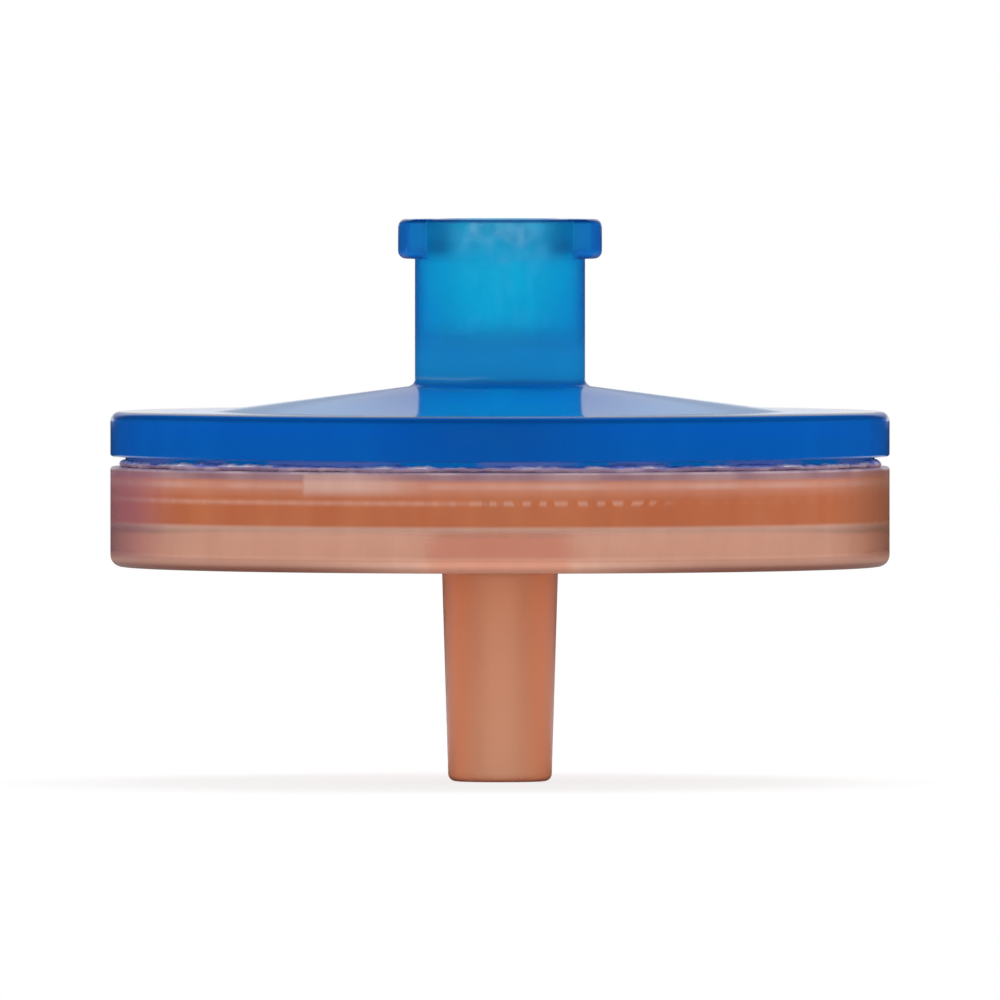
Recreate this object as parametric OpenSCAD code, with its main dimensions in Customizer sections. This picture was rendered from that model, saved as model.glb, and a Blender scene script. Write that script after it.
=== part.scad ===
// Syringe filter: a membrane held between a luer lock inlet housing and a luer slip outlet housing.
// The axis is Z. The inlet is at the top, and the origin is the centre of the slip's open end.

/* [Outlet slip] */
// Outside diameter at the slip's open end
slip_tip_d = 3.98; // [3.93:0.01:4.02]
// Length of the slip below the skirt
slip_l = 8.27; // [7.5:0.01:10]
// Diameter of the bore in the slip
slip_bore_d = 1.9; // [1.4:0.1:2.4]
// Diameter of the orifice between the bore and the pit
orifice_d = 1.2; // [0.8:0.1:1.6]
// Length of the orifice, with the cone that widens it to the bore
orifice_l = 2.9; // [1:0.1:3]
// Rounding of the slip's outer end edge
slip_edge_r = 0.3; // [0.1:0.05:0.4]
// Diameter of the boss that carries the slip under the plate
boss_d = 5.5; // [5:0.1:8]
// How far the boss stays inside the skirt
boss_setback = 0.35; // [0.1:0.05:0.9]
// Fillets where the boss and the skirt join the plate
root_fillet_r = 0.4; // [0.1:0.05:0.45]

/* [Outlet housing] */
// Outside diameter of both housings
disc_d = 30; // [26:0.1:50]
// Depth of the open skirt below the outlet plate
skirt_h = 1.75; // [1.4:0.05:3]
// Wall of the skirt
skirt_t = 1.5; // [1.1:0.1:2.5]
// Rounding of the skirt's lower outer edge
skirt_edge_r = 0.45; // [0.1:0.05:0.6]
// Rounding of the skirt's lower inner edge
skirt_inner_edge_r = 0.3; // [0.1:0.05:0.4]
// Thickness of the outlet plate
outlet_plate_t = 1.65; // [1.4:0.05:3]
// Depth of the seat that the membrane lies in
seat_depth = 0.45; // [0.35:0.05:1]
// Width of the welded ring outside the membrane seat
weld_ring_w = 1.8; // [1.4:0.1:3]

/* [Membrane support] */
// Distance from one support ring to the next
ring_pitch = 0.95; // [0.8:0.05:1.5]
// Width of the grooves between the support rings
groove_w = 0.5; // [0.3:0.05:0.6]
// Depth of the grooves between the support rings
groove_h = 0.6; // [0.3:0.05:0.7]
// Number of radial drains
drain_count = 4; // [3:1:8]
// Width of the radial drains
drain_w = 0.8; // [0.5:0.1:1.2]
// Depth of the radial drains
drain_h = 0.75; // [0.4:0.05:0.9]
// Diameter of the pit that the drains run into
pit_d = 3.2; // [2.8:0.1:3.6]

/* [Membrane] */
// Thickness of the membrane
membrane_t = 0.16; // [0.1:0.01:0.2]
// Width of the membrane's edge that is clamped between the housings
clamp_w = 2; // [1.2:0.1:3]
// Gap between the membrane or clamp ring and the wall round them
seat_clearance = 0.1; // [0.05:0.01:0.2]

/* [Inlet housing] */
// Height of the groove left outside the weld
weld_gap_h = 0.4; // [0.2:0.05:0.6]
// Depth of the groove left outside the weld
weld_gap_w = 0.58; // [0.2:0.02:1]
// Height of the inlet rim
inlet_rim_h = 1.72; // [1.4:0.01:3]
// Rounding of the inlet rim's upper edge
inlet_edge_r = 0.38; // [0.1:0.01:0.6]
// Rounding of the rim edges that face the weld
weld_edge_r = 0.1; // [0.05:0.01:0.15]
// Height that the cone rises from the rim to the neck
cone_h = 1; // [0.6:0.05:2.5]

/* [Feed chamber] */
// Gap over the membrane at the chamber's edge
chamber_edge_h = 0.3; // [0.2:0.05:0.5]
// Gap over the membrane at the chamber's middle
chamber_middle_h = 0.95; // [0.6:0.05:1.1]
// Number of radial feed channels
channel_count = 4; // [3:1:8]
// Width of the feed channels
channel_w = 0.8; // [0.5:0.1:1.2]
// Height of the feed channels over the membrane
channel_h = 1.37; // [1.15:0.01:1.5]
// Width of the ring channel that joins the feed channels' ends
ring_channel_w = 0.5; // [0.3:0.05:0.8]
// Height of the ring channel over the membrane
ring_channel_h = 0.7; // [0.55:0.05:1]
// Wall left between the ring channel and the clamp ring
ring_channel_wall = 0.19; // [0.1:0.01:0.4]
// Diameter of the well under the baffle
well_d = 4.6; // [4:0.1:5.2]
// Height of the well over the membrane
well_h = 1.57; // [1.5:0.01:1.8]

/* [Luer lock inlet] */
// Outside diameter of the neck
neck_d = 6.55; // [6:0.05:6.8]
// Height of the neck above the cone
neck_h = 6.41; // [6:0.01:10]
// Fillet between the cone and the neck
neck_fillet_r = 0.3; // [0.1:0.05:0.6]
// Diameter of the socket at its mouth
socket_mouth_d = 4.3; // [4.27:0.01:4.32]
// Lead-in chamfer at the socket's mouth
mouth_chamfer = 0.12; // [0.05:0.01:0.3]
// Rounding of the neck's upper outer edge
mouth_edge_r = 0.22; // [0.1:0.01:0.4]
// Thickness of the baffle at the socket's floor
baffle_t = 0.75; // [0.5:0.05:1.2]
// Number of windows through the baffle
window_count = 4; // [3:1:6]
// Diameter of the circle that the windows fill
window_d = 3.5; // [2.6:0.1:3.6]
// Width of the webs between the windows
web_w = 0.5; // [0.3:0.05:0.8]
// Diameter of the hub that the webs meet in
web_hub_d = 1; // [0.6:0.1:1.6]
// Distance across the two lugs
lug_span = 7.85; // [7.5:0.01:7.9]
// Width of each lug
lug_w = 3.4; // [2.8:0.1:4]
// Thickness of the lugs along the axis
lug_t = 1.53; // [1:0.01:2]
// Rounding of the lugs' outer corners, seen from above
lug_corner_r = 0.6; // [0.2:0.05:1]
// Rounding of the lugs' upper and lower edges
lug_edge_r = 0.3; // [0.1:0.05:0.45]

/* [Hidden] */

$fn = 96;
CUT = 1;               // how far a cutter reaches past the face that it opens
ARC_STEPS = 8;         // straight steps in each rounded corner of a section
LUER_TAPER = 0.06;     // change of a luer cone's diameter for each unit of its length

inlet_color = [0.01, 0.38, 0.71];
membrane_color = [0.95, 0.96, 0.96];
outlet_color = [0.80, 0.48, 0.36];

// Radii, from the rim inwards
disc_r = disc_d / 2;
weld_gap_r = disc_r - weld_gap_w;
seat_r = disc_r - weld_ring_w;
membrane_r = seat_r - seat_clearance;
filter_r = membrane_r - clamp_w;
skirt_r = disc_r - skirt_t;
boss_r = boss_d / 2;
neck_r = neck_d / 2;
well_r = well_d / 2;

// Heights, from the slip's open end up
skirt_z = slip_l;
plate_z = skirt_z + skirt_h;
seat_z = plate_z + outlet_plate_t;
weld_z = seat_z + seat_depth;
clamp_z = seat_z + membrane_t;
inlet_rim_z = weld_z + weld_gap_h;
shoulder_z = inlet_rim_z + inlet_rim_h;
neck_z = shoulder_z + cone_h;
mouth_z = neck_z + neck_h;
baffle_z = clamp_z + well_h;
socket_z = baffle_z + baffle_t;
boss_z = skirt_z + boss_setback;
pit_z = seat_z - drain_h;
bore_top_z = pit_z - orifice_l;

// The outer radius of the slip at height z, and the radius of the socket at height z
function slip_r(z) = (slip_tip_d + LUER_TAPER * z) / 2;
function socket_r(z) = (socket_mouth_d - LUER_TAPER * (mouth_z - z)) / 2;

function unit(v) = v / norm(v);

// The points of an arc about a centre, from one angle to another
function arc(centre, r, from, to) =
    [for (step = [0:ARC_STEPS])
        let (angle = from + (to - from) * step / ARC_STEPS)
        centre + r * [cos(angle), sin(angle)]];

// The arc that rounds corner b, which lies between the points a and c, to the radius r
function corner_arc(a, b, c, r) =
    let (
        to_a = unit(a - b),
        to_c = unit(c - b),
        half = acos(to_a * to_c) / 2,
        centre = b + unit(to_a + to_c) * r / sin(half),
        first = b + to_a * r / tan(half) - centre,
        last = b + to_c * r / tan(half) - centre,
        start = atan2(first.y, first.x),
        sweep = (atan2(last.y, last.x) - start + 540) % 360 - 180
    )
    arc(centre, r, start, start + sweep);

// The outline through corners [x, y, rounding], where a rounding of 0 leaves the corner sharp
function rounded(corners) =
    let (n = len(corners), at = [for (c = corners) [c.x, c.y]])
    [for (i = [0:n - 1])
        each corners[i][2] == 0 ? [at[i]]
            : corner_arc(at[(i + n - 1) % n], at[i], at[(i + 1) % n], corners[i][2])];

// A bar from the axis out along +X, repeated count times round the axis
module spokes(count, length, width, height, first_angle = 0) {
    for (i = [0:count - 1])
        rotate(first_angle + i * 360 / count)
            translate([0, -width / 2, 0])
                cube([length, width, height]);
}

// ---- Inlet housing ----

// Everything of the inlet housing that is round, before the socket and the channels are cut
module inlet_body() {
    rotate_extrude()
        polygon(rounded([
            [0, baffle_z, 0],
            [well_r, baffle_z, 0],
            [well_r, clamp_z + chamber_middle_h, 0],
            [filter_r, clamp_z + chamber_edge_h, 0],
            [filter_r, clamp_z, 0],
            [membrane_r, clamp_z, 0],
            [membrane_r, weld_z, 0],
            [weld_gap_r, weld_z, 0],
            [weld_gap_r, inlet_rim_z, 0],
            [disc_r, inlet_rim_z, weld_edge_r],
            [disc_r, shoulder_z, inlet_edge_r],
            [filter_r, shoulder_z, 0],
            [neck_r, neck_z, neck_fillet_r],
            [neck_r, mouth_z, mouth_edge_r],
            [0, mouth_z, 0]
        ]));
}

// One end of the lugs' outline seen from above: a round end between two rounded corners
function lug_end() =
    let (
        end_r = lug_span / 2,
        corner_y = lug_w / 2 - lug_corner_r,
        corner_x = sqrt(pow(end_r - lug_corner_r, 2) - pow(corner_y, 2)),
        corner_angle = atan2(corner_y, corner_x)
    )
    concat(
        arc([corner_x, -corner_y], lug_corner_r, -90, -corner_angle),
        arc([0, 0], end_r, -corner_angle, corner_angle),
        arc([corner_x, corner_y], lug_corner_r, corner_angle, 90)
    );

// The two lugs as one bar across the neck, with rounded ends and edges
module lugs() {
    lug_z = mouth_z - lug_t;
    intersection() {
        rotate_extrude()
            polygon(rounded([
                [0, lug_z, 0],
                [lug_span / 2, lug_z, lug_edge_r],
                [lug_span / 2, mouth_z, lug_edge_r],
                [0, mouth_z, 0]
            ]));
        translate([0, 0, lug_z])
            linear_extrude(lug_t)
                polygon(concat(lug_end(), -lug_end()));
    }
}

// The tapered luer socket, with its lead-in chamfer
module socket() {
    translate([0, 0, socket_z])
        cylinder(h = mouth_z - socket_z, r1 = socket_r(socket_z), r2 = socket_r(mouth_z));
    translate([0, 0, mouth_z - mouth_chamfer])
        cylinder(h = 2 * mouth_chamfer, r1 = socket_r(mouth_z), r2 = socket_r(mouth_z) + 2 * mouth_chamfer);
}

// The windows through the baffle, centred on the feed channels
module baffle_windows() {
    translate([0, 0, baffle_z - CUT / 2])
        difference() {
            cylinder(h = baffle_t + CUT, d = window_d);
            spokes(window_count, window_d, web_w, baffle_t + CUT, 180 / window_count);
            cylinder(h = baffle_t + CUT, d = web_hub_d);
        }
}

// The feed channels in the chamber's ceiling, and the ring channel that joins their ends
module feed_channels() {
    ring_channel_r = filter_r - ring_channel_wall;
    translate([0, 0, clamp_z])
        intersection() {
            spokes(channel_count, ring_channel_r, channel_w, channel_h);
            cylinder(h = channel_h, r = ring_channel_r - ring_channel_w / 2);
        }
    translate([0, 0, clamp_z])
        difference() {
            cylinder(h = ring_channel_h, r = ring_channel_r);
            cylinder(h = ring_channel_h, r = ring_channel_r - ring_channel_w);
        }
}

module inlet_housing() {
    color(inlet_color)
        difference() {
            union() {
                inlet_body();
                lugs();
            }
            socket();
            baffle_windows();
            feed_channels();
        }
}

// ---- Membrane ----

module membrane() {
    color(membrane_color)
        translate([0, 0, seat_z])
            cylinder(h = membrane_t, r = membrane_r);
}

// ---- Outlet housing ----

// Everything of the outlet housing that is round, before the bore, the grooves and the drains are cut
module outlet_body() {
    rotate_extrude()
        polygon(rounded([
            [0, 0, 0],
            [slip_r(0), 0, slip_edge_r],
            [slip_r(boss_z), boss_z, 0],
            [boss_r, boss_z, boss_setback / 2],
            [boss_r, plate_z, root_fillet_r],
            [skirt_r, plate_z, root_fillet_r],
            [skirt_r, skirt_z, skirt_inner_edge_r],
            [disc_r, skirt_z, skirt_edge_r],
            [disc_r, weld_z, weld_edge_r],
            [seat_r, weld_z, 0],
            [seat_r, seat_z, 0],
            [0, seat_z, 0]
        ]));
}

// The grooves that leave the support rings standing
module ring_grooves() {
    count = floor((filter_r - pit_d / 2) / ring_pitch);
    for (i = [0:count - 1])
        translate([0, 0, seat_z - groove_h])
            difference() {
                cylinder(h = groove_h + CUT, r = filter_r - i * ring_pitch);
                translate([0, 0, -CUT])
                    cylinder(h = groove_h + 3 * CUT, r = filter_r - i * ring_pitch - groove_w);
            }
}

// The radial drains, midway between the feed channels, and the pit that they run into
module drains() {
    translate([0, 0, pit_z]) {
        intersection() {
            spokes(drain_count, filter_r, drain_w, drain_h + CUT, 180 / drain_count);
            cylinder(h = drain_h + CUT, r = filter_r);
        }
        cylinder(h = drain_h + CUT, d = pit_d);
    }
}

// The way out of the pit: an orifice that widens at 45 degrees to the slip's bore
module outlet_bore() {
    widening = (slip_bore_d - orifice_d) / 2;
    translate([0, 0, -CUT])
        cylinder(h = bore_top_z + CUT, d = slip_bore_d);
    translate([0, 0, bore_top_z])
        cylinder(h = widening, d1 = slip_bore_d, d2 = orifice_d);
    translate([0, 0, bore_top_z])
        cylinder(h = orifice_l + CUT, d = orifice_d);
}

module outlet_housing() {
    color(outlet_color)
        difference() {
            outlet_body();
            outlet_bore();
            ring_grooves();
            drains();
        }
}

inlet_housing();
membrane();
outlet_housing();
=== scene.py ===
"""Looks of the syringe filter: a blue luer lock inlet housing, a white membrane and
an orange luer slip outlet housing."""

import functools
import math

import bmesh
import bpy
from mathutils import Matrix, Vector


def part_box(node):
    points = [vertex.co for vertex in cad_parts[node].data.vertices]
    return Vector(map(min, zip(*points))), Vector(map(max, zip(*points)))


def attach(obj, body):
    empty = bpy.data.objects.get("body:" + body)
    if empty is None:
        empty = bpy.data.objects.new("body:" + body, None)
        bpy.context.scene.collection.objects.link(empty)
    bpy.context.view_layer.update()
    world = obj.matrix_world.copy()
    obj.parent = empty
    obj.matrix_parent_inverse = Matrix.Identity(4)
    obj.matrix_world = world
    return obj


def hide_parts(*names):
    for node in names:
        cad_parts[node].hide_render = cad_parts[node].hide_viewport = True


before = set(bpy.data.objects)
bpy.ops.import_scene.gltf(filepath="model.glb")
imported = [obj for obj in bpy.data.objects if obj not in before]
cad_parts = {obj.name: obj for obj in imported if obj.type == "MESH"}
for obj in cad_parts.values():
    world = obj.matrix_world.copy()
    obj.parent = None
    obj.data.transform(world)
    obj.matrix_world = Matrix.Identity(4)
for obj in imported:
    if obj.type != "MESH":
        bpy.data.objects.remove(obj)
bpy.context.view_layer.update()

MM = 0.001

# ---- Sizes, in millimetres: those of the frame, with the origin at the open end of the slip ----

INLET_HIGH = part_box("inlet_housing")[1] / MM
MEMBRANE_LOW, MEMBRANE_HIGH = (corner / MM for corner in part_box("membrane"))
OUTLET_LOW, OUTLET_HIGH = (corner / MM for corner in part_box("outlet_housing"))

DISC_R = OUTLET_HIGH.x
MEMBRANE_R = MEMBRANE_HIGH.x
SEAT_Z, CLAMP_Z = MEMBRANE_LOW.z, MEMBRANE_HIGH.z
WELD_Z, MOUTH_Z = OUTLET_HIGH.z, INLET_HIGH.z

CLAMP_W = 2.0
FILTER_R = MEMBRANE_R - CLAMP_W
SEAT_R = MEMBRANE_R + 0.1
MEMBRANE_EDGE_R = 0.04
LUER_TAPER = 0.06
WELD_EDGE_R = 0.1

# Outlet housing, from the slip's open end up
SLIP_L = 8.27
SLIP_TIP_R, SLIP_EDGE_R = 1.99, 0.3
SLIP_BORE_R, SLIP_BORE_EDGE_R = 0.95, 0.06
BORE_COVER, ORIFICE_R = 2.9, 0.6
BOSS_R, BOSS_SETBACK = 2.75, 0.35
SKIRT_H, SKIRT_T = 1.75, 1.5
SKIRT_EDGE_R, SKIRT_INNER_EDGE_R, SKIRT_ROOT_R = 0.45, 0.3, 0.4
SKIRT_Z = SLIP_L
BOSS_Z = SKIRT_Z + BOSS_SETBACK
PLATE_Z = SKIRT_Z + SKIRT_H
RING_PITCH, GROOVE_W, GROOVE_H = 0.95, 0.5, 0.6
DRAIN_W, DRAIN_H, PIT_R = 0.8, 0.75, 1.6
PIT_Z = SEAT_Z - DRAIN_H

# Inlet housing, from the weld up
WELD_GAP_H, WELD_GAP_W = 0.4, 0.58
WELD_R = DISC_R - WELD_GAP_W
INLET_RIM_H, INLET_RIM_EDGE_R = 1.72, 0.38
CONE_H, CONE_BLEND_R = 1.0, 3
INLET_RIM_Z = WELD_Z + WELD_GAP_H
SHOULDER_Z = INLET_RIM_Z + INLET_RIM_H
NECK_Z = SHOULDER_Z + CONE_H
NECK_R, NECK_ROOT_R, NECK_EDGE_R = 3.275, 0.3, 0.22
SOCKET_MOUTH_R, SOCKET_FLOOR_R, MOUTH_CHAMFER = 2.15, 0.1, 0.12
BAFFLE_Z, BAFFLE_T = CLAMP_Z + 1.57, 0.75
SOCKET_Z = BAFFLE_Z + BAFFLE_T
WINDOW_R, WEB_W, HUB_R = 1.75, 0.5, 0.5
LUG_R, LUG_W, LUG_T, LUG_CORNER_R, LUG_EDGE_R = 3.925, 3.4, 1.53, 0.6, 0.3
LUG_Z = MOUTH_Z - LUG_T
CHAMBER_EDGE_H, CHAMBER_RING_H, CHAMBER_MIDDLE_H, WELL_R = 0.3, 0.34, 0.95, 2.3
CHANNEL_W, CHANNEL_H = 0.8, 1.37
RING_CHANNEL_R, RING_CHANNEL_W, RING_CHANNEL_H = FILTER_R - 0.19, 0.5, 0.7

# Bead of melt in the groove outside the weld
BEAD_Z, BEAD_DEPTH, BEAD_HEIGHT = WELD_Z + 0.1, 0.24, 0.15

# How far a cutting shape reaches into the open space beside its cut
CUT = 0.1
# What keeps two faces of a boolean from sharing a plane
MICRON = 0.001

SEGMENTS, BEAD_SEGMENTS = 288, 720
ARC_STEPS = 6
SMOOTH_UP_TO = math.radians(32)
QUARTER_TURNS = [k * math.pi / 2 for k in range(4)]


# ---- Mesh tools ----

def arc(centre, radius, start, end, steps=ARC_STEPS):
    """Points of an arc about centre, from one angle to another, in radians."""
    angles = (start + (end - start) * step / steps for step in range(steps + 1))
    return [(centre[0] + radius * math.cos(a), centre[1] + radius * math.sin(a)) for a in angles]


def rounded(corners):
    """The outline through corners (x, y, rounding), where a rounding of 0 leaves the corner sharp."""
    outline = []
    for i, (x, y, radius) in enumerate(corners):
        if not radius:
            outline.append((x, y))
            continue
        here = Vector((x, y))
        before = (Vector(corners[i - 1][:2]) - here).normalized()
        after = (Vector(corners[(i + 1) % len(corners)][:2]) - here).normalized()
        half = before.angle(after) / 2
        centre = here + (before + after).normalized() * radius / math.sin(half)
        first = here + before * radius / math.tan(half) - centre
        last = here + after * radius / math.tan(half) - centre
        start = math.atan2(first.y, first.x)
        sweep = (math.atan2(last.y, last.x) - start + 3 * math.pi) % (2 * math.pi) - math.pi
        outline += arc(centre, radius, start, start + sweep)
    return outline


def mesh_object(name, vertices, faces):
    """A new object from vertices in millimetres."""
    mesh = bpy.data.meshes.new(name)
    mesh.from_pydata([Vector(v) * MM for v in vertices], [], faces)
    mesh.validate()
    obj = bpy.data.objects.new(name, mesh)
    bpy.context.scene.collection.objects.link(obj)
    return obj


def lathe(name, outline, segments=SEGMENTS, wobble=None):
    """A closed solid of revolution. The outline of (radius, height) runs from the axis round to the axis
    again, or is a closed loop off it. A wobble gives what is added to the radius and to the height."""
    rings, vertices, faces = [], [], []
    for r, z in outline:
        if r < 1e-6:
            rings.append([len(vertices)])
            vertices.append((0, 0, z))
            continue
        rings.append(list(range(len(vertices), len(vertices) + segments)))
        for i in range(segments):
            angle = 2 * math.pi * i / segments
            dr, dz = wobble(r, z, angle) if wobble else (0, 0)
            vertices.append(((r + dr) * math.cos(angle), (r + dr) * math.sin(angle), z + dz))
    starts_on_axis = len(rings[0]) == 1
    strips = len(rings) - 1 if starts_on_axis else len(rings)
    for k in range(strips):
        lower, upper = rings[k], rings[(k + 1) % len(rings)]
        for i in range(segments):
            j = (i + 1) % segments
            if len(lower) == 1:
                faces.append((lower[0], upper[j], upper[i]))
            elif len(upper) == 1:
                faces.append((lower[i], lower[j], upper[0]))
            else:
                faces.append((lower[i], lower[j], upper[j], upper[i]))
    obj = mesh_object(name, vertices, faces)
    edit_mesh(obj, turn_outwards)
    return obj


def prism(name, outline, low, high):
    """A closed solid with a flat outline, between two heights."""
    n = len(outline)
    vertices = [(x, y, z) for z in (low, high) for x, y in outline]
    faces = [tuple(reversed(range(n))), tuple(range(n, 2 * n))]
    faces += [(i, (i + 1) % n, n + (i + 1) % n, n + i) for i in range(n)]
    obj = mesh_object(name, vertices, faces)
    edit_mesh(obj, turn_outwards)
    return obj


def edit_mesh(obj, edit):
    """Runs an edit on the object's mesh."""
    mesh = bmesh.new()
    mesh.from_mesh(obj.data)
    edit(mesh)
    mesh.to_mesh(obj.data)
    mesh.free()


def turn_outwards(mesh):
    """Turns every face of a closed mesh outwards."""
    bmesh.ops.recalc_face_normals(mesh, faces=mesh.faces)


def merge_close(mesh):
    """Merges vertices that booleans left within a tenth of a micron of each other."""
    bmesh.ops.remove_doubles(mesh, verts=mesh.verts, dist=MICRON / 10 * MM)


def combine(obj, other, operation):
    """Applies a boolean with another object to obj, and deletes the other object."""
    modifier = obj.modifiers.new("combine", "BOOLEAN")
    modifier.operation, modifier.solver, modifier.object = operation, "MANIFOLD", other
    evaluated = obj.evaluated_get(bpy.context.evaluated_depsgraph_get())
    old, obj.data = obj.data, bpy.data.meshes.new_from_object(evaluated)
    obj.data.materials.clear()
    obj.modifiers.clear()
    bpy.data.meshes.remove(old)
    bpy.data.objects.remove(other)


def join(objects):
    """One object with the meshes of all."""
    first, *others = objects
    for obj in others:
        edit_mesh(first, lambda mesh: mesh.from_mesh(obj.data))
        bpy.data.objects.remove(obj)
    return first


def shade_smooth(obj):
    """Smooth shading, apart from sharp edges."""
    obj.data.shade_smooth()
    obj.data.set_sharp_from_angle(angle=SMOOTH_UP_TO)


# ---- Pieces ----

def lug_outline():
    """The lugs as one bar seen from above, with rounded corners. Its ends reach past the lugs' own round
    ends, which the intersection in make_inlet gives them."""
    corner_y = LUG_W / 2 - LUG_CORNER_R
    corner_x = math.sqrt((LUG_R - LUG_CORNER_R) ** 2 - corner_y ** 2)
    turn = math.atan2(corner_y, corner_x)
    end = arc((corner_x, -corner_y), LUG_CORNER_R, -math.pi / 2, -turn)
    end += arc((0, 0), LUG_R + 0.4, -turn, turn, steps=24)
    end += arc((corner_x, corner_y), LUG_CORNER_R, turn, math.pi / 2)
    return end + [(-x, -y) for x, y in end]


def window_outline(turn):
    """One window of the baffle: a quarter of a ring, less half a web on each side."""
    outer = math.pi / 4 - math.asin(WEB_W / 2 / WINDOW_R)
    inner = math.pi / 4 - math.asin(WEB_W / 2 / HUB_R)
    points = arc((0, 0), WINDOW_R, turn - outer, turn + outer, steps=16)
    return points + arc((0, 0), HUB_R, turn + inner, turn - inner)


def bar_outline(turn, start, end, width):
    """A straight bar along one direction from the axis, seen from above."""
    c, s = math.cos(turn), math.sin(turn)
    corners = [(start, -width / 2), (end, -width / 2), (end, width / 2), (start, width / 2)]
    return [(x * c - y * s, x * s + y * c) for x, y in corners]


def socket_r(z):
    """The tapered socket's radius at a height."""
    return SOCKET_MOUTH_R - LUER_TAPER * (MOUTH_Z - z) / 2


def slip_r(z):
    """The tapered slip's radius at a height."""
    return SLIP_TIP_R + LUER_TAPER * z / 2


def make_inlet():
    """The housing without its socket first, then the lugs, and last the openings. The neck's end stays a
    micron below the lugs' top, so that no two faces of the union share a plane."""
    neck_top = MOUTH_Z - MICRON
    ring_channel_inner_r = RING_CHANNEL_R - RING_CHANNEL_W
    shell = lathe("inlet_shell", rounded([
        (0, BAFFLE_Z, 0),
        (WELL_R, BAFFLE_Z, 0),
        (WELL_R, CLAMP_Z + CHAMBER_MIDDLE_H, 0),
        (ring_channel_inner_r, CLAMP_Z + CHAMBER_RING_H, 0),
        (ring_channel_inner_r, CLAMP_Z + RING_CHANNEL_H, 0),
        (RING_CHANNEL_R, CLAMP_Z + RING_CHANNEL_H, 0),
        (RING_CHANNEL_R, CLAMP_Z + CHAMBER_EDGE_H, 0),
        (FILTER_R, CLAMP_Z + CHAMBER_EDGE_H, 0),
        (FILTER_R, CLAMP_Z, 0),
        (MEMBRANE_R, CLAMP_Z, 0),
        (MEMBRANE_R, WELD_Z, 0),
        (WELD_R, WELD_Z, 0),
        (WELD_R, INLET_RIM_Z, 0),
        (DISC_R, INLET_RIM_Z, WELD_EDGE_R),
        (DISC_R, SHOULDER_Z, INLET_RIM_EDGE_R),
        (FILTER_R, SHOULDER_Z, CONE_BLEND_R),
        (NECK_R, NECK_Z, NECK_ROOT_R),
        (NECK_R, neck_top, NECK_EDGE_R),
        (0, neck_top, 0),
    ]))
    lugs = prism("lugs", lug_outline(), LUG_Z - 1, MOUTH_Z + 1)
    ends = lathe("ends", rounded([
        (0, LUG_Z, 0),
        (LUG_R, LUG_Z, LUG_EDGE_R),
        (LUG_R, MOUTH_Z, LUG_EDGE_R),
        (0, MOUTH_Z, 0),
    ]))
    combine(lugs, ends, "INTERSECT")
    combine(shell, lugs, "UNION")
    chamfer_z = MOUTH_Z - MOUTH_CHAMFER
    socket = lathe("socket", rounded([
        (0, SOCKET_Z, 0),
        (socket_r(SOCKET_Z), SOCKET_Z, SOCKET_FLOOR_R),
        (socket_r(chamfer_z), chamfer_z, 0),
        (socket_r(chamfer_z) + 2 * MOUTH_CHAMFER, chamfer_z + 2 * MOUTH_CHAMFER, 0),
        (0, chamfer_z + 2 * MOUTH_CHAMFER, 0),
    ]))
    combine(shell, socket, "DIFFERENCE")
    low, high = BAFFLE_Z - CUT, SOCKET_Z + 2 * CUT
    windows = [prism("window", window_outline(turn), low, high) for turn in QUARTER_TURNS]
    combine(shell, join(windows), "DIFFERENCE")
    # The second channel is a little larger than the first, so that they don't share a plane where they cross
    reach = RING_CHANNEL_R - RING_CHANNEL_W / 2
    low, high = CLAMP_Z + CUT, CLAMP_Z + CHANNEL_H
    channels = prism("channels", bar_outline(0, -reach, reach, CHANNEL_W), low, high)
    crossing = bar_outline(math.pi / 2, -reach - 0.01, reach + 0.01, CHANNEL_W)
    combine(channels, prism("crossing", crossing, low - 0.01, high + MICRON), "UNION")
    combine(shell, channels, "DIFFERENCE")
    edit_mesh(shell, merge_close)
    return shell


def make_outlet():
    """The housing with its bore and pit and the grooves between the support rings, and then the drains."""
    grooves = []
    # The sizes of the frame are rounded, so a whole number of grooves may come out a little too small
    count = math.floor((FILTER_R - PIT_R) / RING_PITCH + 0.01)
    for i in range(count):
        outer = FILTER_R - i * RING_PITCH
        inner = outer - GROOVE_W
        floor_z = SEAT_Z - GROOVE_H
        grooves += [(outer, SEAT_Z, 0), (outer, floor_z, 0), (inner, floor_z, 0), (inner, SEAT_Z, 0)]
    bore_top = PIT_Z - BORE_COVER
    skirt_inner_r = DISC_R - SKIRT_T
    shell = lathe("outlet_shell", rounded([
        (ORIFICE_R, bore_top + SLIP_BORE_R - ORIFICE_R, 0),
        (SLIP_BORE_R, bore_top, 0),
        (SLIP_BORE_R, 0, SLIP_BORE_EDGE_R),
        (SLIP_TIP_R, 0, SLIP_EDGE_R),
        (slip_r(BOSS_Z), BOSS_Z, 0),
        (BOSS_R, BOSS_Z, BOSS_SETBACK / 2),
        (BOSS_R, PLATE_Z, SKIRT_ROOT_R),
        (skirt_inner_r, PLATE_Z, SKIRT_ROOT_R),
        (skirt_inner_r, SKIRT_Z, SKIRT_INNER_EDGE_R),
        (DISC_R, SKIRT_Z, SKIRT_EDGE_R),
        (DISC_R, WELD_Z, WELD_EDGE_R),
        (SEAT_R, WELD_Z, 0),
        (SEAT_R, SEAT_Z, 0),
        *grooves,
        (PIT_R, SEAT_Z, 0),
        (PIT_R, PIT_Z, 0),
        (ORIFICE_R, PIT_Z, 0),
    ]))
    for turn in QUARTER_TURNS:
        drain = bar_outline(math.pi / 4 + turn, PIT_R - 0.3, FILTER_R - 0.02, DRAIN_W)
        combine(shell, prism("drain", drain, PIT_Z + MICRON, SEAT_Z + 1), "DIFFERENCE")
    return shell


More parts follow.
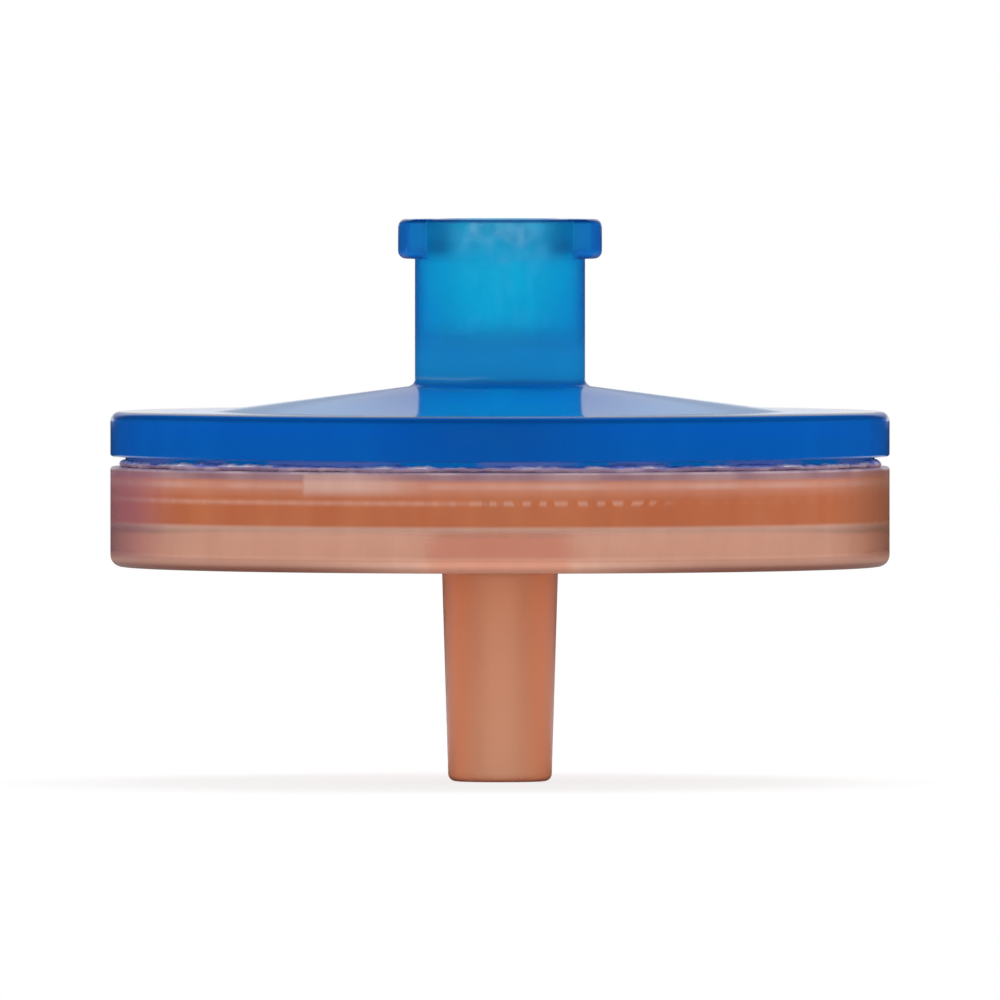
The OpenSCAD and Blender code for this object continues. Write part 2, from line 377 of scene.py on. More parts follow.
def make_membrane():
    """The filter disc, with slightly rounded edges."""
    return lathe("membrane_disc", rounded([
        (0, SEAT_Z, 0),
        (MEMBRANE_R, SEAT_Z, MEMBRANE_EDGE_R),
        (MEMBRANE_R, CLAMP_Z, MEMBRANE_EDGE_R),
        (0, CLAMP_Z, 0),
    ]))


def ripple(angle, seed, waves):
    """A ragged wave round the axis, mostly between -1 and 1, that closes on itself."""
    total = sum(math.sin(angle * count + seed + 2.1 * k) for k, count in enumerate(waves))
    return total / len(waves) ** 0.5


def make_flash():
    """The ragged bead of melt that the weld pushed out into the groove."""

    def wobble(r, z, angle):
        coarse, fine = ripple(angle, 1.0, (5, 11, 19)), ripple(angle, 2.0, (61, 97, 149, 211))
        thick = min(max(0.92 + 0.22 * coarse + 0.16 * fine, 0.25), 1.5)
        rise = 0.015 * ripple(angle, 3.0, (9, 23, 71))
        return (r - WELD_R) * (thick - 1), (z - BEAD_Z) * (thick - 1) + rise

    turns = [math.pi * k / 6 for k in range(12)]
    bead = [(WELD_R + BEAD_DEPTH * math.cos(a), BEAD_Z + BEAD_HEIGHT * math.sin(a)) for a in turns]
    return lathe("bead", bead, segments=BEAD_SEGMENTS, wobble=wobble)


# ---- Colours, as linear red, green and blue ----

WHITE, BLACK, OFF_WHITE = (1.0, 1.0, 1.0), (0.0, 0.0, 0.0), (0.9, 0.9, 0.9)

# Blue housing, from the side
RIM_BLUE_LOW, RIM_BLUE_HIGH = (0.0, 0.125, 0.53), (0.0, 0.175, 0.62)
# Painted reflection, darker across the middle of the rim's side
RIM_PAINTED_REFLECTION_BLUE = (0.0, 0.09, 0.40)
# The socket's pale blue is painted light, for light that comes in through the thin neck
NECK_BLUE, SOCKET_PAINTED_LIGHT_BLUE, LUG_BLUE = (0.0, 0.28, 0.68), (0.35, 0.75, 0.95), (0.0, 0.16, 0.58)
SMEAR_BLUE, MOTTLE_BLUE = (0.30, 0.62, 0.82), (0.05, 0.50, 0.85)
# The pale line at the neck's foot is a painted highlight
FOOT_BLUE, FOOT_SHADE_BLUE, FOOT_HIGHLIGHT_BLUE = (0.0, 0.48, 0.97), (0.0, 0.10, 0.48), (0.22, 0.56, 0.90)
ROOT_BLUE = (0.0, 0.17, 0.72)
# Painted shade for the dark edge lines
EDGE_SHADE_BLUE = (0.0, 0.03, 0.16)
# The groove's colours are painted lighter than the rim, against the shade in the groove
GROOVE_LIGHTENED_BLUE, GROOVE_LIGHTENED_VIOLET = (0.0, 0.26, 0.82), (0.14, 0.26, 0.78)

# Blue housing, from above
# The front blue from above is painted shade
FILM_BLUE_INNER, FILM_BLUE_OUTER, FILM_SHADE_BLUE_FRONT = (0.0, 0.26, 0.84), (0.0, 0.35, 0.92), (0.0, 0.19, 0.67)
CHANNEL_BLUE, DRAIN_DOT_BLUE, CLAMP_BLUE = (0.0, 0.45, 0.97), (0.0, 0.22, 0.74), (0.0, 0.31, 0.89)
WELD_GREY_DARK, WELD_GREY_LIGHT, WELD_LINE_GREY = (0.13, 0.19, 0.31), (0.18, 0.26, 0.45), (0.12, 0.16, 0.28)
# The baffle's bright blue is painted light, for light that comes in through the blue walls
MOUTH_BLUE, BAFFLE_PAINTED_LIGHT_BLUE = (0.0, 0.15, 0.66), (0.0, 0.5, 1.0)

# Orange housing
ORANGE_LOW, ORANGE_HIGH = (0.60, 0.17, 0.07), (0.66, 0.21, 0.09)
ORANGE_PALE, ORANGE_BOSS = (0.88, 0.44, 0.34), (0.90, 0.24, 0.09)
# The slip's top colour is painted lighter, against the disc's shadow
SLIP_LOW, SLIP_TOP_LIGHTENED = (0.84, 0.34, 0.19), (1.0, 0.40, 0.20)
SKIRT_ORANGE, DASH_ORANGE, PATCH_ORANGE = (0.86, 0.52, 0.40), (0.98, 0.60, 0.48), (0.90, 0.60, 0.52)
MAUVE_DARK, MAUVE_LIGHT = (0.28, 0.17, 0.24), (0.47, 0.32, 0.36)
# The right end's brown is painted shade
LEFT_END_MAUVE, RIGHT_END_SHADE_BROWN = (0.36, 0.14, 0.24), (0.36, 0.13, 0.07)
STAIN_BROWN, MOULD_LINE_BROWN = (0.40, 0.18, 0.12), (0.36, 0.13, 0.08)
# The corner and edge colours are painted shade
CORNER_SHADE_BROWN, CORNER_SHADE_ORANGE, EDGE_SHADE_BROWN = (0.36, 0.17, 0.12), (0.60, 0.21, 0.12), (0.20, 0.07, 0.05)
# The top outer edge's colours are painted lighter, against the shade under the blue rim
WELD_EDGE_LIGHTENED_MAUVE, WELD_EDGE_LIGHTENED_PINK = (0.42, 0.30, 0.40), (0.68, 0.50, 0.56)

# Melt outside the weld, and membrane
# The melt's mauve is painted lighter against the shade in the groove, and its lilac is a painted highlight
MELT_MAUVE_DARK, MELT_MAUVE_LIGHT = (0.34, 0.22, 0.36), (0.62, 0.45, 0.56)
MELT_VIOLET, MELT_HIGHLIGHT_LILAC = (0.16, 0.22, 0.66), (0.90, 0.80, 0.95)
FILM_WHITE_LOW, FILM_WHITE_HIGH = (0.84, 0.85, 0.85), (0.92, 0.92, 0.91)

# Light that a millimetre of the clear plastic absorbs
BLUE_ABSORBS = (6.0, 0.19, 0.005)
ORANGE_ABSORBS = (0.05, 0.36, 0.58)

PLASTIC_IOR = 1.49
# Share of clear plastic where nothing else is said
PLAIN_CLEAR = 0.3
# Stretches of noise: drawn out along the height, and the same at all heights
TALL, LEVEL = (1, 1, 0.35), (1, 1, 0)


# ---- Materials ----

class Shader:
    """A node tree, with a few short ways to add to it."""

    def __init__(self, tree):
        self.nodes, self.links = tree.nodes, tree.links

    def node(self, kind, settings=None, **inputs):
        """A node. Values go to its sockets by name: a number or tuple is set, and a socket is linked."""
        node = self.nodes.new("ShaderNode" + kind)
        for key, value in (settings or {}).items():
            setattr(node, key, value)
        for key, value in inputs.items():
            self.put(node.inputs[key.replace("_", " ")], value)
        return node

    def put(self, socket, value):
        """Links a socket to the value, or sets it."""
        if isinstance(value, bpy.types.NodeSocket):
            self.links.new(value, socket)
        elif isinstance(value, tuple) and len(value) == 3 and socket.type == "RGBA":
            socket.default_value = (*value, 1)
        else:
            socket.default_value = value

    def place(self):
        """Object coordinates in millimetres, and the distance from the axis."""
        scaled = self.node("VectorMath", {"operation": "SCALE"}, Scale=1 / MM)
        self.put(scaled.inputs[0], self.node("TexCoord").outputs["Object"])
        self.at_mm = scaled.outputs[0]
        self.x, self.y, self.z = self.node("SeparateXYZ", Vector=self.at_mm).outputs
        self.r = self.math("SQRT", self.plus(self.times(self.x, self.x), self.times(self.y, self.y)))

    def math(self, operation, a, b=0.0, clamp=False):
        node = self.node("Math", {"operation": operation, "use_clamp": clamp})
        self.put(node.inputs[0], a)
        self.put(node.inputs[1], b)
        return node.outputs[0]

    def times(self, *values):
        return functools.reduce(lambda a, b: self.math("MULTIPLY", a, b), values)

    def plus(self, *values):
        return functools.reduce(lambda a, b: self.math("ADD", a, b), values)

    def most(self, *values):
        """The greatest of the values."""
        return functools.reduce(lambda a, b: self.math("MAXIMUM", a, b), values)

    def minus(self, a, b, clamp=False):
        return self.math("SUBTRACT", a, b, clamp)

    def unsigned(self, value):
        return self.math("ABSOLUTE", value)

    def step(self, value, start, end, low=0.0, high=1.0):
        """Goes smoothly from low to high as value goes from start to end."""
        node = self.node(
            "MapRange", {"interpolation_type": "SMOOTHSTEP"},
            Value=value, From_Min=start, From_Max=end, To_Min=low, To_Max=high,
        )
        return node.outputs[0]

    def band(self, value, low, high, soft):
        """1 between low and high, and 0 outside, with soft ends."""
        rise, fall = (low - soft, low + soft), (high + soft, high - soft)
        return self.times(self.step(value, *rise), self.step(value, *fall))

    def noise(self, scale, detail=2.0, stretch=(1, 1, 1)):
        """Noise from 0 to 1 with that many waves a millimetre."""
        stretched = self.node("Mapping", Vector=self.at_mm, Scale=stretch).outputs[0]
        return self.node("TexNoise", Vector=stretched, Scale=scale, Detail=detail).outputs["Fac"]

    def mix(self, share, a, b):
        """Colours a and b by share."""
        node = self.node("Mix", {"data_type": "RGBA", "clamp_factor": True})
        self.put(node.inputs[0], share)
        self.put(node.inputs[6], a)
        self.put(node.inputs[7], b)
        return node.outputs[2]

    def paint(self, colour, *layers):
        """The colour under layers, each a share and a colour, that are laid over it in turn."""
        for share, over in layers:
            colour = self.mix(share, colour, over)
        return colour


def new_material(name):
    """A material with an empty tree, and its shader, which knows the sockets for surface and volume."""
    material = bpy.data.materials.new(name)
    material.use_nodes = True
    s = Shader(material.node_tree)
    s.nodes.clear()
    out = s.node("OutputMaterial")
    s.surface, s.volume = out.inputs["Surface"], out.inputs["Volume"]
    s.place()
    return material, s


def mix_shaders(s, share, first, second):
    """Two shaders by share, as the material's surface."""
    mixed = s.node("MixShader", Fac=share)
    s.put(mixed.inputs[1], first.outputs[0])
    s.put(mixed.inputs[2], second.outputs[0])
    s.put(s.surface, mixed.outputs[0])


def clear_plastic(name, build, absorbed):
    """Milky plastic: a scattering body mixed with clear plastic that absorbs light by length."""
    material, s = new_material(name)
    looks = build(s)
    normal = bumps(s, s.noise(0.8))
    body = s.node(
        "BsdfPrincipled", Base_Color=looks["colour"], Roughness=looks["roughness"], IOR=PLASTIC_IOR,
        Specular_IOR_Level=0.15, Normal=normal,
    )
    glass = s.node(
        "BsdfPrincipled", Base_Color=WHITE, Roughness=looks["haze"], IOR=PLASTIC_IOR,
        Transmission_Weight=1.0, Normal=normal,
    )
    mix_shaders(s, looks["clear"], body, glass)
    density = max(absorbed)
    tint = tuple(1 - a / density for a in absorbed)
    s.put(s.volume, s.node("VolumeAbsorption", Color=tint, Density=density / MM).outputs[0])
    return material


def bumps(s, height, distance=0.01):
    """Slight waves in a surface. The distance is in millimetres."""
    return s.node("Bump", Height=height, Distance=distance * MM, Strength=0.08).outputs[0]


def film_from_above(s, across, along):
    """What shows through the blue top inside the weld: the free part of the membrane with the feed channels
    over it and the dotted drains below, and the clamped ring round it, with painted shade towards the front."""
    near_axes = [s.step(side, CHANNEL_W / 2 + 0.1, CHANNEL_W / 2 - 0.1) for side in (across, along)]
    feeds = s.times(s.most(*near_axes), s.step(s.r, FILTER_R - 0.2, FILTER_R - 0.4))
    channels = s.most(feeds, s.band(s.r, FILTER_R - 0.35, FILTER_R - 0.2, 0.1))
    diagonal = s.step(s.unsigned(s.minus(across, along)), 0.5, 0.3)
    rings = s.step(s.math("SINE", s.times(s.r, 2 * math.pi / RING_PITCH)), -0.3, 0.3)
    dots = s.times(diagonal, rings, s.band(s.r, 5.0, FILTER_R - 0.6, 0.2))
    # Painted shade: the top is darker towards the front, the side away from the light
    front = s.times(s.step(s.y, -1.0, -4.0), s.step(across, 7.0, 3.5))
    return s.paint(
        s.mix(s.step(s.r, 4.5, 9.0), FILM_BLUE_INNER, FILM_BLUE_OUTER),
        (s.times(channels, 0.65), CHANNEL_BLUE),
        (s.times(dots, 0.55), DRAIN_DOT_BLUE),
        (s.times(front, 0.8), FILM_SHADE_BLUE_FRONT),
        (s.step(s.r, FILTER_R - 0.05, FILTER_R + 0.15), CLAMP_BLUE),
    )


def weld_from_above(s):
    """What shows through the blue top outside the membrane: the grey weld, with a thin line round it."""
    return s.paint(
        s.mix(s.step(s.noise(0.2), 0.35, 0.65), WELD_GREY_DARK, WELD_GREY_LIGHT),
        (s.band(s.r, SEAT_R + 0.55, SEAT_R + 0.65, 0.08), WELD_LINE_GREY),
    )


def inlet_looks(s):
    """Blue plastic: clearest in the neck, milkier in its foot and lugs, and deep in the rim."""
    across, along = s.unsigned(s.x), s.unsigned(s.y)
    # Height that wanders a little round the axis, for lines that aren't quite level
    wander = s.plus(s.z, s.times(s.noise(0.5, stretch=LEVEL), 0.3))

    # Neck, socket and lugs
    neck = s.times(s.step(s.r, 4.6, 3.6), s.step(s.z, SHOULDER_Z + 0.6, NECK_Z + 0.4))
    # Painted light: the socket's wall is pale, for light that comes in through the thin neck
    socket = s.times(s.step(s.r, NECK_R - 0.1, NECK_R - 0.4), s.step(s.z, SOCKET_Z, MOUTH_Z))
    lugs = s.times(s.step(s.r, NECK_R - 0.02, NECK_R + 0.08), s.step(s.z, LUG_Z - 0.2, LUG_Z))
    lug_foot = s.times(lugs, s.step(s.z, LUG_Z + 0.45, LUG_Z + 0.2, 0.0, 0.35))
    smears = s.times(
        s.step(s.z, MOUTH_Z - 2.6, MOUTH_Z - 0.3),
        s.step(s.z, MOUTH_Z - 0.03, MOUTH_Z - 0.12),
        s.step(s.noise(1.6, 7.0, (1, 1, 0.7)), 0.25, 0.75),
        s.step(s.r, NECK_R + 0.1, NECK_R),
        s.step(across, 2.4, 1.0),
    )
    mottles = s.times(
        s.step(s.noise(2.2, 4.0, TALL), 0.5, 0.75),
        s.band(s.z, NECK_Z + 1.5, MOUTH_Z - 2.0, 1.0),
        neck,
        s.step(across, 2.2, 1.4),
    )
    foot = s.times(s.step(s.z, NECK_Z + 2.4, NECK_Z + 0.9), neck)
    foot_colour = s.times(s.step(s.z, NECK_Z + 3.4, NECK_Z + 2.2), neck)
    foot_shade = s.times(s.band(wander, NECK_Z + 0.12, NECK_Z + 0.3, 0.2), s.step(s.x, -2.2, 0.2), neck)
    # Painted highlight: a pale line on the left of the neck's foot, above its fillet, where the plastic is
    # also milkier
    foot_highlight = s.times(s.band(wander, NECK_Z + 0.4, NECK_Z + 0.46, 0.06), s.step(s.x, 0.0, -1.2))
    root = s.times(s.band(s.z, NECK_Z - 0.3, NECK_Z + 0.15, 0.12), s.step(s.r, 4.3, 3.7))

    # Painted shade: dark lines along the rim's upper edge, the mouth's lip and the lugs' lower edge, which
    # are also less clear
    below_shoulder = s.band(s.z, SHOULDER_Z - 0.26, SHOULDER_Z - 0.08, 0.05)
    rim_edge = s.times(s.step(s.r, DISC_R - 0.3, DISC_R - 0.15), below_shoulder)
    lip = s.times(s.step(s.z, MOUTH_Z - 0.2, MOUTH_Z - 0.08), s.step(s.r, NECK_R - 0.2, NECK_R - 0.1))
    lug_edge = s.times(s.band(s.z, LUG_Z - 0.1, LUG_Z + 0.12, 0.08), s.step(s.r, NECK_R + 0.1, NECK_R + 0.2))
    dark = s.times(s.most(s.times(rim_edge, 0.8), lip, s.times(lug_edge, 0.7)), 0.9)

    # Rim, with a painted dark reflection across the middle of its side, and the groove outside the weld
    rim = s.step(s.r, DISC_R - 0.5, DISC_R - 0.1)
    # Painted reflection: the rim's side is darker towards the middle of its front and back
    rim_painted_reflection = s.times(s.step(s.r, DISC_R - 0.2, DISC_R - 0.1), s.step(across, 7.0, 0.0, 0.0, 0.6))
    below_rim = s.step(s.z, INLET_RIM_Z + 0.02, INLET_RIM_Z - 0.02)
    # Painted light: the groove's wall is lighter than the rim's blue, against the shade in the groove, with
    # violet patches of melt
    groove = s.times(s.band(s.r, DISC_R - 0.8, DISC_R - 0.35, 0.05), below_rim)
    groove_lightened_colour = s.mix(s.step(s.noise(0.35), 0.42, 0.58), GROOVE_LIGHTENED_BLUE, GROOVE_LIGHTENED_VIOLET)

    # From above the filter shows through: bright over the membrane, and grey over the weld
    above = s.times(
        s.step(s.z, SHOULDER_Z - 0.06, SHOULDER_Z - 0.02),
        s.step(s.r, NECK_R + 0.1, NECK_R + 1.3),
        s.step(s.z, NECK_Z + 0.5, NECK_Z + 0.3),
    )
    film = s.step(s.r, SEAT_R + 0.15, SEAT_R - 0.2)
    plan_colour = s.mix(film, weld_from_above(s), film_from_above(s, across, along))
    mouth_face = s.step(s.z, MOUTH_Z - 0.02, MOUTH_Z - 0.005)
    # Painted light: the baffle and its webs are bright blue, for light that comes in through the blue walls
    baffle = s.times(s.step(s.r, WELL_R, WELL_R - 0.1), s.band(s.z, BAFFLE_Z, SOCKET_Z, 0.05))
    chamber = s.times(s.step(s.z, BAFFLE_Z - 0.05, BAFFLE_Z - 0.15), s.step(s.r, SEAT_R, SEAT_R - 0.2))

    colour = s.paint(
        s.mix(s.step(s.noise(0.5, stretch=TALL), 0.3, 0.75, 0, 0.35), RIM_BLUE_LOW, RIM_BLUE_HIGH),
        (s.times(neck, 0.6), NECK_BLUE),
        (s.times(socket, 0.6), SOCKET_PAINTED_LIGHT_BLUE),
        (s.times(lugs, 0.8), LUG_BLUE),
        (s.times(smears, 0.8), SMEAR_BLUE),
        (mottles, MOTTLE_BLUE),
        (s.times(foot_colour, 0.9), FOOT_BLUE),
        (s.times(foot_shade, 0.75), FOOT_SHADE_BLUE),
        (s.times(root, 0.7), ROOT_BLUE),
        (s.times(foot_highlight, 0.8), FOOT_HIGHLIGHT_BLUE),
        (rim_painted_reflection, RIM_PAINTED_REFLECTION_BLUE),
        (dark, EDGE_SHADE_BLUE),
        (above, plan_colour),
        (mouth_face, MOUTH_BLUE),
        (baffle, BAFFLE_PAINTED_LIGHT_BLUE),
        (groove, groove_lightened_colour),
    )
    milky = s.plus(
        s.times(smears, 0.3),
        s.times(lugs, 0.52),
        s.most(s.times(foot, 0.46), s.times(foot_highlight, 0.6)),
        s.times(mottles, 0.2),
    )
    clear = s.plus(
        PLAIN_CLEAR,
        s.times(neck, s.minus(0.62, milky)),
        s.times(above, film, 0.15),
        s.times(s.most(chamber, baffle), 0.3),
    )
    cloudy = s.plus(lug_foot, s.times(mouth_face, 0.6), s.times(dark, 0.5))
    return {
        "colour": colour,
        "roughness": s.plus(0.1, lug_foot, s.times(rim, 0.05)),
        "clear": s.minus(clear, cloudy, clamp=True),
        "haze": s.plus(s.times(neck, 0.2), 0.14),
    }


def outlet_looks(s):
    """Orange plastic: mauve by the weld, pale in the skirt, with painted shade at its lower corner and right
    end, and clear in the slip, which is painted lighter towards its top.
    """
    across = s.unsigned(s.x)
    outside = s.step(s.r, DISC_R - 0.3, DISC_R - 0.2)

    # Rim: mauve by the weld, a pale patch on the left, the drains' ends as a dotted line, and its top outer
    # edge painted lighter against the shade under the blue rim
    weld = s.times(s.step(s.z, SEAT_Z + 0.02, SEAT_Z + 0.22), s.step(s.r, SEAT_R, SEAT_R + 0.1))
    # Painted light: the top outer edge is lighter, against the shade under the blue rim
    weld_edge_lightened = s.times(s.step(s.z, WELD_Z - 0.14, WELD_Z - 0.04), s.step(s.r, DISC_R - 1.0, DISC_R - 0.8))
    glow = s.times(
        s.band(s.z, SEAT_Z - 0.2, SEAT_Z + 0.02, 0.1),
        outside,
        s.step(s.noise(0.3, stretch=LEVEL), 0.35, 0.65, 0.15, 0.45),
    )
    patch = s.times(s.step(s.x, -7.6, -7.4), s.step(s.x, -2.0, -5.5), s.step(s.z, SEAT_Z - 0.6, SEAT_Z - 0.1))
    line_z = SEAT_Z - GROOVE_H - 0.13
    dashes = s.step(s.math("SINE", s.times(s.plus(s.x, s.noise(0.8)), 9.2)), -0.5, 0.5)
    dashed = s.most(s.times(dashes, s.step(s.x, 7.0, 5.0, 0.1, 1.0)), s.step(s.x, 2.0, -4.0, 0.0, 0.8))
    dotted_line = s.times(s.band(s.z, line_z - 0.08, line_z + 0.08, 0.1), outside, dashed)
    mould_line = s.times(s.band(s.z, SKIRT_Z + 0.44, SKIRT_Z + 0.5, 0.04), outside)

    # Skirt, with the window that lets the hollow inside it show, and painted shade at its lower corner and
    # bottom edge
    skirt = s.times(s.step(s.r, DISC_R - 1.8, DISC_R - 1.6), s.step(s.z, PLATE_Z + 0.1, PLATE_Z - 0.1))
    window = s.times(skirt, s.step(s.z, PLATE_Z + 0.1, PLATE_Z - 0.3))
    window_clear = s.times(window, s.step(across, BOSS_R + 1.0, BOSS_R - 0.5, 0.25, 0.35))
    wall = s.step(s.r, DISC_R - 1.4, DISC_R - 1.2)
    corner = s.times(wall, s.step(s.z, SKIRT_Z + 0.7, SKIRT_Z + 0.3))
    edge = s.times(wall, s.step(s.z, SKIRT_Z + 0.32, SKIRT_Z + 0.12))
    aside = s.step(across, 2.0, 9.0, 0.3, 0.8)
    centre = s.step(across, BOSS_R + 0.7, BOSS_R - 0.5)
    skirt_inner_r = DISC_R - SKIRT_T
    inner_wall = s.times(
        s.band(s.r, skirt_inner_r - 0.3, skirt_inner_r + SKIRT_T / 2, 0.1),
        s.step(s.z, PLATE_Z + 0.1, PLATE_Z),
    )

    # Boss, slip and bore
    boss = s.times(s.step(s.r, BOSS_R + 0.5, BOSS_R + 0.1), s.band(s.z, SKIRT_Z + 0.1, PLATE_Z, 0.1))
    slip = s.step(s.z, SKIRT_Z + 0.2, SKIRT_Z)
    # Painted light: the slip is lighter towards its top, against the disc's shadow
    slip_colour = s.mix(s.step(s.z, SKIRT_Z - 2.5, SKIRT_Z - 0.5), SLIP_LOW, SLIP_TOP_LIGHTENED)
    tip = s.step(s.z, 0.4, 0.05)
    bore = s.times(s.step(s.r, SLIP_BORE_R + 0.15, SLIP_BORE_R + 0.05), s.step(s.z, SKIRT_Z, SKIRT_Z - 0.3))

    mauve = s.mix(s.step(s.noise(0.3, 3.0, LEVEL), 0.35, 0.65), MAUVE_DARK, MAUVE_LIGHT)
    pink = s.mix(s.step(s.noise(0.6, 3.0, LEVEL), 0.35, 0.65), WELD_EDGE_LIGHTENED_MAUVE, WELD_EDGE_LIGHTENED_PINK)
    colour = s.paint(
        s.mix(s.step(s.noise(0.5, stretch=TALL), 0.3, 0.7), ORANGE_LOW, ORANGE_HIGH),
        (s.step(s.z, line_z, SEAT_Z - 0.1, 0.0, 0.4), ORANGE_PALE),
        (boss, ORANGE_BOSS),
        (slip, slip_colour),
        (s.times(skirt, 0.95), SKIRT_ORANGE),
        (s.times(dotted_line, 0.42), DASH_ORANGE),
        (s.most(glow, s.times(patch, outside, 0.7)), PATCH_ORANGE),
        (s.times(weld, s.minus(0.85, s.times(patch, 0.5))), mauve),
        (s.times(s.step(s.x, -12.0, -14.6, 0, 0.65), outside), LEFT_END_MAUVE),
        # Painted shade: the rim darkens to brown towards its right end
        (s.times(s.step(s.x, 12.4, 14.8, 0, 0.7), outside), RIGHT_END_SHADE_BROWN),
        (s.times(s.step(s.noise(1.5, 4.0, (1, 1, 0.3)), 0.3, 0.7, 0, 0.12), outside), STAIN_BROWN),
        (s.times(mould_line, 0.3), MOULD_LINE_BROWN),
        # Painted shade: the skirt's lower corner darkens, most at the sides, and its bottom edge and the
        # slip's end get a dark brown line
        (s.times(corner, s.most(aside, s.times(centre, 0.6))), s.mix(centre, CORNER_SHADE_BROWN, CORNER_SHADE_ORANGE)),
        (s.times(s.most(edge, tip), aside), EDGE_SHADE_BROWN),
        (weld_edge_lightened, pink),
    )
    clear = s.minus(s.plus(PLAIN_CLEAR, window_clear, s.times(slip, 0.45)), s.times(boss, 0.25))
    hidden = s.most(s.times(corner, 0.9), s.times(tip, 0.4))
    return {
        "colour": colour,
        "roughness": s.plus(0.25, s.times(corner, 0.35)),
        "clear": s.most(s.times(clear, s.minus(1.0, hidden)), s.times(s.most(inner_wall, bore), 0.95)),
        "haze": s.plus(s.times(slip, 0.2), 0.15),
    }


def flash_material():
    """Blue and orange melt, mixed: a painted lilac highlight, broken with violet, along the top of the bead,
    and mauve below it, painted lighter against the shade in the groove.
    """
    material, s = new_material("weld_flash")
    # Painted highlight: lilac, broken with violet, along the bead's top
    top = s.step(s.plus(s.z, s.times(s.noise(1.2), 0.1)), WELD_Z + 0.17, WELD_Z + 0.22)
    mauve = s.mix(s.step(s.noise(0.5), 0.35, 0.65), MELT_MAUVE_DARK, MELT_MAUVE_LIGHT)
    lilac = s.mix(s.step(s.noise(0.8, 3.0), 0.4, 0.6), MELT_VIOLET, MELT_HIGHLIGHT_LILAC)
    roughness = s.step(s.noise(3.0), 0.3, 0.7, 0.25, 0.45)
    body = s.node("BsdfPrincipled", Base_Color=s.mix(top, mauve, lilac), Roughness=roughness, IOR=PLASTIC_IOR)
    s.put(s.surface, body.outputs[0])
    return material


def membrane_material():
    """Matt white film with a fine grain."""
    material, s = new_material("filter_film")
    grain = s.noise(9.0, 3.0)
    colour = s.mix(grain, FILM_WHITE_LOW, FILM_WHITE_HIGH)
    body = s.node("BsdfPrincipled", Base_Color=colour, Roughness=0.85, Normal=bumps(s, grain, 0.004))
    s.put(s.surface, body.outputs[0])
    return material


# ---- Studio ----

def make_camera():
    """A long lens far away, one degree above the level of the disc."""
    aim = Vector((0, 0, (OUTLET_LOW.z + MOUTH_Z) / 2)) * MM
    distance, rise = 1.2, math.radians(1.0)
    frame_w = 0.0385
    data = bpy.data.cameras.new("camera")
    data.sensor_width = 36
    data.lens = data.sensor_width * distance / frame_w
    data.clip_start, data.clip_end = 0.01, 10
    camera = bpy.data.objects.new("camera", data)
    camera.location = aim + distance * Vector((0, -math.cos(rise), math.sin(rise)))
    camera.rotation_euler = (math.pi / 2 - rise, 0, 0)
    bpy.context.scene.collection.objects.link(camera)
    bpy.context.scene.camera = camera


def make_world():
    """A white tent, as the camera and the clear plastic see it. Gloss meets it only behind the filter, most
    of all near the horizon, and the light that it gives is softer than it looks."""
    world = bpy.data.worlds.new("world")
    bpy.context.scene.world = world
    world.use_nodes = True
    world.cycles.sampling_method = "NONE"
    s = Shader(world.node_tree)
    ray = s.node("LightPath").outputs
    camera_ray, glossy_ray, clear_ray = ray["Is Camera Ray"], ray["Is Glossy Ray"], ray["Is Transmission Ray"]
    east, north, up = s.node("SeparateXYZ", Vector=s.node("TexCoord").outputs["Generated"]).outputs
    behind = s.times(s.step(north, 0.0, 0.5), s.step(s.unsigned(east), 0.35, 0.15))
    sky = s.times(
        s.plus(s.step(up, 0.03, 0.08, 1.3, 0.46), s.step(up, 0.13, 0.19, 0.0, 0.25)),
        s.step(up, -0.01, 0.02),
        s.step(up, 0.25, 0.5, 1.0, 0.5),
    )
    gloss = s.times(glossy_ray, s.most(s.times(behind, sky), 0.02))
    through = s.times(clear_ray, s.step(north, -0.5, 0.5, 0.8, 1.0))
    soft = s.minus(1.0, s.most(camera_ray, glossy_ray, clear_ray))
    background = s.nodes["Background"].inputs
    s.put(background["Strength"], s.plus(s.most(gloss, camera_ray, through), s.times(soft, 0.68)))
    s.put(background["Color"], WHITE)


def area_light(name, place, size, power, aim=(0, 0, 0.011)):
    """A lamp that neither gloss nor clear plastic shows. Place, size and aim are in metres."""
    data = bpy.data.lights.new(name, "AREA")
    data.shape, data.energy = "RECTANGLE", power
    data.size, data.size_y = size
    light = bpy.data.objects.new(name, data)
    light.location = place
    light.rotation_euler = (Vector(aim) - Vector(place)).to_track_quat("-Z", "Y").to_euler()
    light.visible_glossy = light.visible_transmission = False
    bpy.context.scene.collection.objects.link(light)


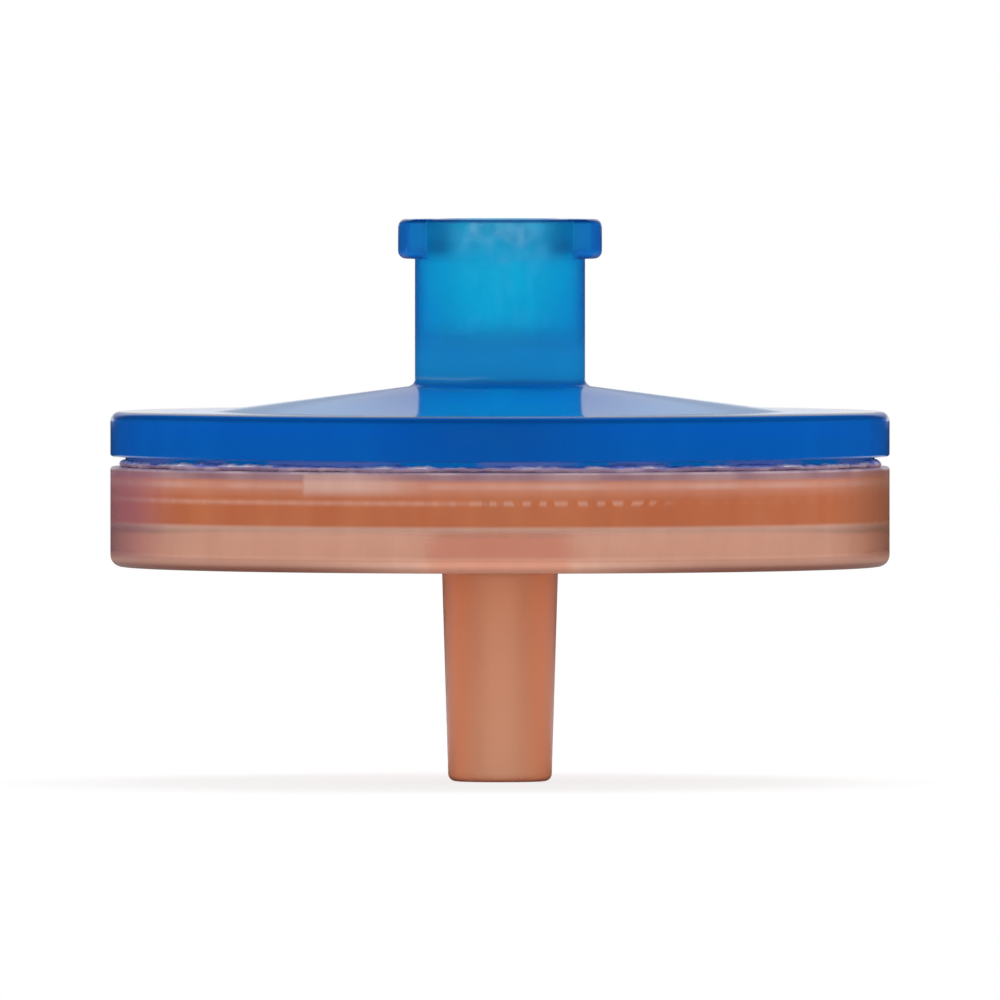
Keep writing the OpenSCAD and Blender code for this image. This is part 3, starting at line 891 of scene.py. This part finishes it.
def make_floor():
    """A white floor that keeps a faint shadow under the filter and fades to plain white around it. It lies a
    little below the slip, and gloss meets it dark on the camera's side."""
    corners = arc((0, 0), 90, 0, 2 * math.pi, steps=96)[:-1]
    obj = mesh_object("floor", [(x, y, -0.02) for x, y in corners], [tuple(range(len(corners)))])
    material, s = new_material("floor")
    ray = s.node("LightPath").outputs
    camera_ray, glossy_ray, clear_ray = ray["Is Camera Ray"], ray["Is Glossy Ray"], ray["Is Transmission Ray"]
    shine = s.times(glossy_ray, s.step(s.y, -5.0, 20.0, 0.02, 0.4))
    share = s.times(s.most(camera_ray, clear_ray, shine), s.step(s.r, 15.0, 70.0, 0.75, 1.0))
    mirrored = s.times(glossy_ray, s.step(s.y, 20.0, -5.0, 0.0, 0.95))
    diffuse = s.node("BsdfDiffuse", Color=s.mix(mirrored, OFF_WHITE, BLACK))
    glow = s.node("Emission", Color=WHITE, Strength=1.05)
    mix_shaders(s, share, diffuse, glow)
    obj.data.materials.append(material)


# ---- Scene ----

bpy.context.scene.view_settings.view_transform = "Standard"
make_camera()
make_world()
make_floor()
area_light("left", (-0.5, 0.15, 0.25), (0.4, 0.4), 0.8)
area_light("right", (0.5, 0.2, 0.25), (0.4, 0.4), 0.9)
area_light("top", (0.1, 0.15, 0.6), (0.5, 0.5), 1.6)
area_light("low", (0.0, -0.5, 0.03), (0.3, 0.1), 0.55, aim=(0, 0, 0.006))

inlet, outlet, flash, membrane = make_inlet(), make_outlet(), make_flash(), make_membrane()
for piece, node, slot in (
    (inlet, "inlet_housing", "inlet_plastic"),
    (outlet, "outlet_housing", "outlet_plastic"),
    (flash, "outlet_housing", "outlet_plastic"),
    (membrane, "membrane", "membrane_film"),
):
    shade_smooth(piece)
    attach(piece, "root")
    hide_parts(node)
inlet.data.materials.append(clear_plastic("blue_plastic", inlet_looks, BLUE_ABSORBS))
outlet.data.materials.append(clear_plastic("orange_plastic", outlet_looks, ORANGE_ABSORBS))
flash.data.materials.append(flash_material())
membrane.data.materials.append(membrane_material())
